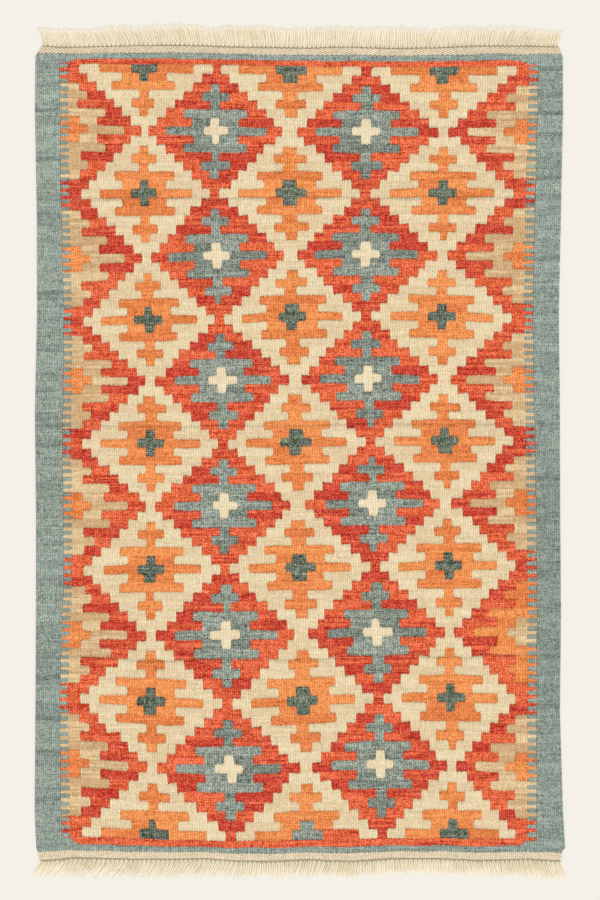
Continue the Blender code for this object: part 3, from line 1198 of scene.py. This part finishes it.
    def slits(self) -> np.ndarray:
        """Finds the slits, where two yarns part in a valley above a line or below it.

        Returns:
            Whether each valley has one, one row for each line.
        """
        step = self.yarn[:, 1:] != self.yarn[:, :-1]
        slit = np.zeros((len(self.line_rows), self.plan.ribs + 1), bool)
        slit[:-1, 1:-1] |= step
        slit[1:, 1:-1] |= step
        return slit

    def painted_seam_shade(self, ribs: np.ndarray) -> np.ndarray:
        """Finds the grid points where two yarns meet, on a slit or between rows, for painted shade
        along the seams.

        Args:
            ribs: the grid's columns, in ribs.

        Returns:
            1 where they meet and 0 elsewhere, one row for each line.
        """
        over = np.zeros((len(self.line_rows), self.plan.ribs), bool)
        over[1:-1] = self.yarn[1:] != self.yarn[:-1]
        at = np.floor(ribs).astype(int)
        on_valley = (ribs == at)[None, :]
        held = np.clip(at, 0, self.plan.ribs - 1)
        before = np.clip(at - 1, 0, self.plan.ribs - 1)
        between_rows = over[:, held] | (on_valley & over[:, before])
        return ((self.slits()[:, at] & on_valley) | between_rows).astype(float)

    def corners(self, ribs: np.ndarray) -> tuple[np.ndarray, np.ndarray]:
        """Works out how far each grid point moves to round the pattern's corners.

        Where one of the four yarns that meet at a crossing differs from the other three, the
        crossing moves towards it. It moves further at the end of an arm one row high, whose
        two corners both lie free. The move dies out within one rib to either side.

        Args:
            ribs: the grid's columns, in ribs.

        Returns:
            The moves across and along, one row for each line.
        """
        above, below = self.yarn[:-1], self.yarn[1:]
        four = [above[:, :-1], above[:, 1:], below[:, :-1], below[:, 1:]]
        lone = []
        for odd in range(4):
            rest = [four[n] for n in range(4) if n != odd]
            same = (rest[0] == rest[1]) & (rest[1] == rest[2])
            lone.append((same & (four[odd] != rest[0])).astype(float))
        row = self.lines_in_row
        for upper, lower in ((2, 0), (3, 1)):
            arm = lone[upper][:-row] * lone[lower][row:] * self.arm_end
            lone[upper][:-row] += arm
            lone[lower][row:] += arm
        shape = (len(self.line_rows), self.plan.ribs + 1)
        across, along = np.zeros(shape), np.zeros(shape)
        across[1:-1, 1:-1] = lone[1] + lone[3] - lone[0] - lone[2]
        along[1:-1, 1:-1] = lone[0] + lone[1] - lone[2] - lone[3]
        at = np.clip(np.floor(ribs).astype(int), 0, self.plan.ribs - 1)
        part = (ribs - at)[None, :]
        across, along = (
            move[:, at] * (1.0 - part) + move[:, at + 1] * part for move in (across, along)
        )
        return self.corner_across * across, self.corner_along * along

    def grid(self, ribs: np.ndarray) -> tuple[np.ndarray, np.ndarray]:
        """Works out where the grid's points lie, with each rib's rows lapped by turns.

        Lines lap by the same share, but for more under the top web and none at the rim.

        Args:
            ribs: the grid's columns, in ribs.

        Returns:
            The places across and along, one row for each line.
        """
        x, y = self.plan.place(ribs, self.line_rows)
        across, along = self.corners(ribs)
        turns = np.where(np.floor(ribs) % 2 == 0, 1.0, -1.0)
        share = np.ones(len(self.line_rows))
        share[np.isclose(self.line_rows, self.plan.first_row - 2.0)] = self.web_lap
        share[[0, 1, -2, -1]] = 0.0
        return x + across, y + along + self.lap * (arch(ribs) * turns)[None, :] * share[:, None]

    def upper(self, ribs: np.ndarray, y: np.ndarray) -> np.ndarray:
        """Works out the height of the upper face.

        A rib is half a sine from valley to crest. In the top web the wrapped yarns lie
        obliquely, so there the half sines run on a slant. A slit lowers its valley, and the
        rim is drawn in.

        Args:
            ribs: the grid's columns, in ribs.
            y: the places of its points along.

        Returns:
            The heights, one row for each line.
        """
        web = (self.plan.beyond(self.line_rows) > self.web_from).astype(float)[:, None]
        strokes = self.finish.stroke_ribs * ribs[None, :] + y / self.finish.stroke
        top = (self.line_rows < 0.0)[:, None] & (web > 0.0)
        slant = np.abs(np.sin(math.pi * strokes))
        wave = np.where(top, slant**self.full, arch(ribs)[None, :] ** self.full)
        low = self.valley + web * (self.web_valley - self.valley)
        high = self.crest + web * (self.web_crest - self.crest)
        at = np.floor(ribs).astype(int)
        z = low + (high - low) * wave
        z = z - self.slit_depth * (self.slits()[:, at] & (ribs == at)[None, :])
        z[:, [0, -1]] = self.rim_top
        z[[0, -1]] = np.minimum(z[[0, -1]], self.rim_top)
        return z

    def lower(self, ribs: np.ndarray, y: np.ndarray) -> np.ndarray:
        """Works out the height of the under face, whose ribs hang down from their valleys.

        Args:
            ribs: the grid's columns, in ribs.
            y: the places of its points along.

        Returns:
            The heights, one row for each line.
        """
        z = self.under_valley * (1.0 - arch(ribs))[None, :] * np.ones((len(y), 1))
        z[:, [0, -1]] = self.rim_under
        z[[0, -1]] = np.maximum(z[[0, -1]], self.rim_under)
        return z

    def face(self, ribs: np.ndarray, height: Callable) -> dict[str, np.ndarray]:
        """Works out one face of the whole cloth, lifted off the floor in slow waves.

        Args:
            ribs: the grid's columns, in ribs.
            height: the method that gives the face's height.

        Returns:
            Its points and what they carry, by name, one row for each line.
        """
        x, y = self.grid(ribs)
        wave = np.clip(ripple(x, y, self.lift_seed, self.lift_wave), -1.0, 1.0)
        z = height(ribs, y) + self.lift * (1.0 + wave)
        return {
            "points": np.stack([x, y, z], axis=-1),
            "uv": np.stack([np.broadcast_to(ribs, y.shape), y], axis=-1),
            # the mask of the painted seam shade
            "slit": self.painted_seam_shade(ribs),
            "bead": self.beads(ribs, y),
        }

    def section(self, number: int, first: int, last: int, faces: list, looks: dict) -> Surface:
        """Makes one closed length of the cloth, between two of the grid's lines.

        Args:
            number: the section's number, from the top.
            first: its first line.
            last: its last line.
            faces: the upper and the under face of the whole cloth.
            looks: what each rib carries between each two lines.

        Returns:
            The surface.
        """
        both = {
            name: [face[name][first : last + 1].reshape(-1, *values.shape[2:]) for face in faces]
            for name, values in faces[0].items()
        }
        both = {name: np.concatenate(halves) for name, halves in both.items()}
        rows = last + 1 - first
        t = np.arange(rows * self.top_ribs.size).reshape(rows, -1)
        u = t.size + np.arange(rows * self.under_ribs.size).reshape(rows, -1)
        left = quads(np.stack([t[:, 0], u[:, 0]], 1), turned=True)
        right = quads(np.stack([t[:, -1], u[:, -1]], 1), turned=False)
        front, back = (
            np.stack([u[row, :-1], t[row, :-1:2], t[row, 1::2], t[row, 2::2], u[row, 1:]], -1)
            for row in (0, -1)
        )
        cells = np.arange(self.yarn.size).reshape(self.yarn.shape)[first:last]
        of_face = np.concatenate(
            [
                np.repeat(cells, len(self.top_columns), axis=1).ravel(),
                np.repeat(cells, len(self.under_columns), axis=1).ravel(),
                cells[:, 0],
                cells[:, -1],
                np.repeat(cells[0], 2),
                np.repeat(cells[-1], 2),
            ]
        )
        return Surface(
            f"kilim_cloth_{number}",
            both.pop("points"),
            [quads(t, turned=False), quads(u, turned=True), left, right, front, back[:, ::-1]],
            both.pop("uv"),
            [False, False, False, False, first > 0, last < len(self.line_rows) - 1],
            both,
            {
                name: values.reshape(self.yarn.size, *values.shape[2:])[of_face]
                for name, values in looks.items()
            },
        )

    def make(self) -> list[bpy.types.Object]:
        """Makes the cloth in closed sections that meet line on line.

        Returns:
            The sections, from the top.
        """
        material = self.finish.make()
        faces = [self.face(self.top_ribs, self.upper), self.face(self.under_ribs, self.lower)]
        looks = self.looks()
        cuts = np.linspace(0, len(self.line_rows) - 1, self.sections + 1).astype(int).tolist()
        pieces = []
        for number, (first, last) in enumerate(zip(cuts[:-1], cuts[1:], strict=True), 1):
            surface = self.section(number, first, last, faces, looks)
            pieces.append(surface.place(material, WOOL_SLOT, CLOTH_NODE))
        return pieces


@dataclass(frozen=True)
class Tubes:
    """A two-lobed section carried along many paths at once.

    At each point of a path the section stands square to it. Its radius at an angle is the
    path's radius there times 1 plus lobe times the cosine of twice the angle from the twist.
    Centres are paths by points by places in millimetres, and radii and twists in radians are
    paths by points.
    """

    centre: np.ndarray
    radius: np.ndarray
    twist: np.ndarray
    lobe: float
    sides: int

    def surface(self, name: str, lot: np.ndarray) -> Surface:
        """Makes the walls and the caps of every path.

        Args:
            name: the piece's name.
            lot: each path's lot.

        Returns:
            The surface, whose points carry nothing yet.
        """
        way = np.gradient(self.centre, axis=1)
        way /= np.linalg.norm(way, axis=-1, keepdims=True)
        side = np.cross(way, np.array([0.0, 0.0, 1.0]))
        side /= np.linalg.norm(side, axis=-1, keepdims=True)
        up = np.cross(side, way)
        angle = TURN * np.arange(self.sides) / self.sides
        lobes = 1.0 + self.lobe * np.cos(2.0 * (angle - self.twist[..., None]))
        out = self.radius[..., None] * lobes
        points = (
            self.centre[:, :, None, :]
            + (out * np.cos(angle))[..., None] * side[:, :, None, :]
            + (out * np.sin(angle))[..., None] * up[:, :, None, :]
        )
        paths, rings, sides = out.shape
        index = np.arange(out.size).reshape(out.shape)
        turned = np.roll(index, -1, axis=2)
        walls = np.stack([index[:, :-1], index[:, 1:], turned[:, 1:], turned[:, :-1]], -1)
        step = np.linalg.norm(np.diff(self.centre, axis=1), axis=-1)
        run = np.concatenate([np.zeros((paths, 1)), np.cumsum(step, axis=1)], axis=1)
        around = np.broadcast_to(np.arange(sides) / sides, out.shape)
        uv = np.stack([around, np.broadcast_to(run[..., None], out.shape)], axis=-1)
        return Surface(
            name,
            points.reshape(-1, 3),
            [walls.reshape(-1, 4), index[:, 0], index[:, -1, ::-1]],
            uv.reshape(-1, 2),
            [False, True, True],
            {key: np.zeros(out.size) for key in ("root", "tip", "blot")},
            {"lot": np.concatenate([np.repeat(lot, (rings - 1) * sides), lot, lot])},
        )


@dataclass(frozen=True, kw_only=True)
class Layer:
    """One layer of a fringe: where a lock's yarns stand, as shares of it, and how they lie."""

    places: tuple[float, ...]
    paired: float
    round_root: float
    stray: float
    thick: float
    crest: float
    lying: float
    root: float
    tip: float
    length: float
    lots: tuple[float, float]


UPPER_YARNS = Layer(
    places=(-0.26, -0.09, 0.09, 0.26),
    paired=0.55,
    round_root=1.6,
    stray=1.0,
    thick=0.98,
    crest=2.95,
    lying=1.4,
    root=0.84,
    tip=1.15,
    length=1.0,
    lots=(0.0, 0.4),
)
UNDER_YARNS = Layer(
    places=(-0.375, -0.125, 0.125, 0.375),
    paired=0.0,
    round_root=0.0,
    stray=0.6,
    thick=1.3,
    crest=1.45,
    lying=0.0,
    root=1.0,
    tip=1.0,
    length=0.985,
    # high lots: the deep colour, as painted shade in the gaps between the upper yarns
    lots=(0.6, 1.0),
)


@dataclass(kw_only=True)
class Fringe:
    """One end's cut warps, in locks of plied yarns, and the cord twined at their roots.

    What strays has one share that neighbours have in common, and shares for each lock, for
    each pair of its yarns and for each yarn, in the order of the numbers below.
    """

    plan: Plan
    end: str
    table: Table
    way: float
    seed: int
    over: float
    root_shade_reach: float
    locks: int = 113
    rings: int = 13
    sides: int = 7
    edge: float = 0.004
    width: float = 984.0
    root_at: float = 0.9
    sweep: float = 95.0
    fine_sweep: float = 0.3
    fine_share: float = 0.35
    fine_seed: int = 5
    open_at: float = 0.22
    root_spread: float = 0.05
    blot_length: float = 55.0
    lobe: float = 0.10
    twist_length: float = 22.0
    layers: tuple[Layer, ...] = (UPPER_YARNS, UNDER_YARNS)
    length_strays: tuple[float, ...] = (0.025, 0.02, 0.03, 0.02)
    lean_strays: tuple[float, ...] = (2.4, 0.4, 0.55, 0.15)
    turn_strays: tuple[float, ...] = (2.5, 0.2, 0.2)
    curl: float = 3.0
    curl_turn: float = 0.65
    bend: float = 1.5
    ring_power: float = 0.9
    taper_at: tuple[float, ...] = (0.0, 0.04, 0.80, 0.94, 1.0)
    taper: tuple[float, ...] = (0.70, 1.0, 1.00, 0.84, 0.42)
    thick_stray: float = 0.06
    sunk: float = 0.45
    inner_rise: float = 0.35
    inner_at: float = 0.2
    tie: float = 0.6
    tie_at: float = 0.10
    fall_at: float = 0.45
    hump: float = 0.8
    hump_at: float = 1.15
    pair_at: float = 0.25
    lock_lot: float = 0.35
    cord_lot: float = 0.5
    layer_seeds: int = 10
    lot_seed: int = 50
    blot_seed: int = 60
    lock_seed: int = 70
    pair_seed: int = 80
    cord_step: float = 0.62
    cord_end: float = 0.001
    cord_thick: float = 0.66
    cord_round: float = 0.62
    cord_pitch: float = 4.4
    cord_height: float = 1.9
    cord_out: float = 1.5
    cord_sides: int = 6
    scallop: float = 1.6

    def draws(self, seed: int, *shape: int) -> np.ndarray:
        """Returns normal draws from one of the fringe's seeds."""
        return np.random.default_rng(self.seed + seed).normal(0.0, 1.0, shape)

    def root_line(self, share: np.ndarray) -> tuple[np.ndarray, np.ndarray]:
        """Returns the places of the end line at shares of its width."""
        left, right = (SELVEDGES.read(self.way * END_AT, side) for side in SIDES)
        return left + (right - left) * share, END_LINES.read(share, self.end)

    def paths(self, layer: Layer, seed: int) -> tuple[np.ndarray, np.ndarray, np.ndarray]:
        """Works out the middle line of every yarn in a layer, its radius and its twist.

        A yarn leaves its lock's root square to the rug and bends over, so at share t of its
        length it stands aside by the lean times t to the power 1.5. Its lock is narrow at the
        root and opens at the tip, where its yarns lie in two pairs. Its height falls from the
        crest to lying on the floor or on the layer below, and it curls aside in a sine that
        grows with t.

        Args:
            layer: how the layer's yarns lie.
            seed: the layer's own seed.

        Returns:
            Places of paths by points, radii and turns of the section.
        """
        draw = np.random.default_rng(seed)
        room = (1.0 - 2.0 * self.edge) / self.locks
        lock = np.repeat(np.arange(self.locks), len(layer.places))
        place = np.tile(layer.places, self.locks)
        x, y = self.root_line(self.edge + room * (lock + 0.5))
        wide = room * self.width
        own_x = x + place * wide
        length = self.table.read(own_x, "length")
        lean = self.table.read(own_x, "lean")
        level = np.zeros(x.size)
        fine = self.fine_sweep * self.sweep
        shared = [
            ripple(own_x, level, self.seed + n, self.sweep)
            + self.fine_share * ripple(own_x, level, self.seed + n + self.fine_seed, fine)
            for n in range(3)
        ]
        own = draw.normal(0.0, 1.0, (4, x.size))
        by_lock = self.draws(self.lock_seed, 3, self.locks)[:, lock]
        by_pair = self.draws(self.pair_seed, 3, 2 * self.locks)[:, 2 * lock + (place > 0.0)]
        by_all, of_lock, of_pair, of_own = self.length_strays
        spread = 1.0 + by_all * shared[0] + of_lock * by_lock[0] + of_pair * by_pair[0]
        length = (length + self.over) * layer.length * (spread + of_own * own[0])
        by_all, of_lock, of_pair, of_own = self.lean_strays
        stray = by_all * shared[1] + of_lock * by_lock[1] + of_pair * by_pair[1]
        lean = lean + layer.stray * stray + of_own * own[1]
        t = np.linspace(0.0, 1.0, self.rings) ** self.ring_power
        opened = np.clip(t / self.open_at, 0.0, 1.0)
        opened = opened * opened * (3.0 - 2.0 * opened)
        tied = (layer.root + self.root_spread * self.draws(0, self.locks))[lock][:, None]
        share = tied + (layer.tip - tied) * opened
        phase = draw.uniform(0.0, TURN, x.size)
        by_all, of_lock, of_pair = self.turn_strays
        turn = by_all * shared[2] + layer.stray * (of_lock * by_lock[2] + of_pair * by_pair[2])
        sway = self.curl * t * np.sin(self.curl_turn * math.pi * t + turn[:, None])
        gathered = layer.paired * (np.sign(place) * self.pair_at - place)
        placed = place[:, None] + gathered[:, None] * opened
        aside = x[:, None] + placed * wide * share + lean[:, None] * t**self.bend + sway
        outermost = np.abs(place) / UPPER_YARNS.places[-1]
        round_root = self.root_at + layer.round_root * outermost**2
        reach = round_root[:, None] + (length - round_root)[:, None] * t
        taper = np.interp(t, self.taper_at, self.taper)
        radius = layer.thick * taper[None, :] * (1.0 + self.thick_stray * own[3])[:, None]
        inner = self.inner_rise * (np.abs(place) < self.inner_at)
        rise = layer.crest - layer.thick - self.sunk + inner
        tied_down = self.tie + (1.0 - self.tie) * np.minimum(t / self.tie_at, 1.0)
        fall = np.exp(-((t / self.fall_at) ** 2)) * tied_down
        high = radius + rise[:, None] * fall + layer.lying * (1.0 - fall)
        above = draw.uniform(0.0, 1.0, x.size)[:, None] * self.hump
        high = high + above * np.sin(math.pi * np.minimum(t * self.hump_at, 1.0)) ** 2
        centre = np.stack([aside, y[:, None] + self.way * reach, high], axis=-1)
        centre[..., :2] += self.plan.shift
        return centre, radius, TURN * reach / self.twist_length + phase[:, None]

    def make_yarns(self, material: bpy.types.Material) -> bpy.types.Object:
        """Makes the plied yarns of every layer as one piece.

        Args:
            material: the yarns' cotton.

        Returns:
            The piece.
        """
        made = [
            self.paths(layer, self.seed + self.layer_seeds * n)
            for n, layer in enumerate(self.layers, 1)
        ]
        centre, radius, twist = (np.concatenate(parts) for parts in zip(*made, strict=True))
        draw = np.random.default_rng(self.seed + self.lot_seed)
        lots = []
        for layer in self.layers:
            shared = np.repeat(draw.uniform(0.0, 1.0, self.locks), len(layer.places))
            own = draw.uniform(0.0, 1.0, shared.size)
            low, high = layer.lots
            lots.append(low + (high - low) * (self.lock_lot * (shared - own) + own))
        tubes = Tubes(centre, radius, twist, self.lobe, self.sides)
        surface = tubes.surface(f"fringe_yarns_{self.end}", np.concatenate(lots))
        run = np.linspace(0.0, 1.0, self.rings)[None, :, None]
        run = np.broadcast_to(run, (*radius.shape, self.sides)).ravel()
        x, y = surface.points[:, 0], surface.points[:, 1]
        # the painted root shade's share along each yarn
        surface.on_points["root"] = np.exp(-((run / self.root_shade_reach) ** 2))
        surface.on_points["tip"] = run
        surface.on_points["blot"] = ripple(x, y, self.seed + self.blot_seed, self.blot_length)
        return surface.place(material, COTTON_SLOT, f"fringe_{self.end}")

    def make_cord(self, material: bpy.types.Material) -> bpy.types.Object:
        """Makes the two-ply cord that is twined through the roots.

        Each ply is a helix round a line that dips towards the cloth in front of each lock
        by a share of the absolute sine of the lock's width.

        Args:
            material: the cord's cotton.

        Returns:
            The piece.
        """
        samples = int(self.width / self.cord_step)
        share = np.linspace(self.cord_end, 1.0 - self.cord_end, samples)
        x, y = self.root_line(share)
        lock = (share - self.edge) / (1.0 - 2.0 * self.edge) * self.locks
        dip = self.scallop * np.abs(np.sin(math.pi * lock))
        plies = (TURN * x / self.cord_pitch)[None, :] + np.array([[0.0], [math.pi]])
        around = self.cord_round * self.cord_thick
        line = y + self.way * (self.cord_out - dip)
        high = self.cord_height + around * np.sin(plies)
        across = np.broadcast_to(x, plies.shape)
        centre = np.stack([across, line + around * np.cos(plies), high], axis=-1)
        centre[..., :2] += self.plan.shift
        radius = np.full(plies.shape, self.cord_thick)
        tubes = Tubes(centre, radius, plies, 0.0, self.cord_sides)
        surface = tubes.surface(f"root_cord_{self.end}", np.full(2, self.cord_lot))
        return surface.place(material, COTTON_SLOT)

    def make(self, yarn: bpy.types.Material, cord: bpy.types.Material) -> list[bpy.types.Object]:
        """Makes the yarns and the cord."""
        return [self.make_yarns(yarn), self.make_cord(cord)]


@dataclass
class Studio:
    """A softly lit pale table, an even sky, one broad lamp and the camera straight above."""

    plan: Plan
    light: Light
    floor_seen: tuple[int, int, int] = (245, 241, 232)
    floor_size: float = 120.0
    floor_low: float = -0.2
    floor_glow: float = 0.7
    lens: float = 85.0
    sensor: float = 36.0
    clip: tuple[float, float] = (0.1, 1000.0)
    view_long: float = 1.71
    view_middle: tuple[float, float] = (1.9, 5.3)

    def make_floor(self) -> bpy.types.Object:
        """Makes the floor, just under the rug. Most of its light is its own, as a light table's.

        Returns:
            The floor.
        """
        dull = self.light.dye(self.floor_seen) * (1.0 - self.floor_glow)
        material = Graph("studio_floor").finish(
            {
                "Base Color": (*dull, 1.0),
                "Emission Color": (*linear(self.floor_seen), 1.0),
                "Emission Strength": self.floor_glow,
                "Roughness": 1.0,
                "Specular IOR Level": 0.0,
            }
        )
        half = 0.5 * self.floor_size
        low = self.floor_low * MM
        corners = [(-half, -half, low), (half, -half, low), (half, half, low), (-half, half, low)]
        mesh = bpy.data.meshes.new("studio_floor")
        mesh.from_pydata(corners, [], [(0, 1, 2, 3)])
        mesh.materials.append(material)
        floor = stand("studio_floor", mesh)
        return floor

    def make_light(self) -> None:
        """Makes the even sky and the broad soft lamp."""
        scene = bpy.context.scene
        scene.world = bpy.data.worlds.new("studio")
        scene.world.use_nodes = True
        background = scene.world.node_tree.nodes["Background"]
        background.inputs["Color"].default_value = (1.0, 1.0, 1.0, 1.0)
        background.inputs["Strength"].default_value = self.light.sky
        lamp = bpy.data.lights.new("soft_lamp", "SUN")
        lamp.energy = self.light.sun * math.pi
        lamp.angle = math.radians(self.light.sun_spread)
        holder = stand("soft_lamp", lamp)
        tilt = math.radians(self.light.sun_tilt)
        holder.rotation_euler = (tilt, 0.0, math.radians(self.light.sun_turn))

    def make_camera(self) -> None:
        """Puts the camera over the middle of the photograph's view, looking straight down."""
        data = bpy.data.cameras.new("camera")
        data.lens = self.lens
        data.sensor_width = self.sensor
        data.clip_start, data.clip_end = self.clip
        holder = stand("camera", data)
        middle = (np.array(self.view_middle) + self.plan.shift) * MM
        holder.location = (*middle, self.view_long * self.lens / self.sensor)
        bpy.context.scene.camera = holder

    def make(self) -> bpy.types.Object:
        """Makes the studio.

        Returns:
            Its floor.
        """
        bpy.context.scene.view_settings.view_transform = "Standard"
        self.make_light()
        self.make_camera()
        return self.make_floor()


def main() -> None:
    """Builds the studio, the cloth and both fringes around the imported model."""
    logging.basicConfig(level=logging.INFO, format="%(message)s")
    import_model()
    light = Light()
    plan = Plan()
    plan.settle()
    floor = Studio(plan, light).make()
    sections = Cloth(plan, Chart(), WoolFinish(light)).make()
    # the deep cotton is partly a random tone and partly the under layer's painted shade
    yarn = CottonFinish(
        light, "fringe_cotton_yarn", (252, 242, 217), (221, 204, 170), (252, 244, 226)
    ).make()
    # the twined cord's grey-brown is partly its own colour and partly painted shade of the gap at
    # the roots
    cord = CottonFinish(
        light, "root_cord_yarn_and_painted_shade", (188, 168, 139), (158, 138, 111), (170, 150, 123)
    ).make()
    top = Fringe(
        plan=plan, end="top", table=TOP_LOCKS, way=1.0, seed=11, over=1.2, root_shade_reach=0.10
    ).make(yarn, cord)
    bottom = Fringe(
        plan=plan, end="bottom", table=BOTTOM_LOCKS, way=-1.0, seed=12, over=3.8, root_shade_reach=0.24
    ).make(yarn, cord)
    for piece in [*sections, *top, *bottom]:
        LOG.info("%s: %d faces", piece.name, len(piece.data.polygons))


if __name__ == "__main__":
    main()
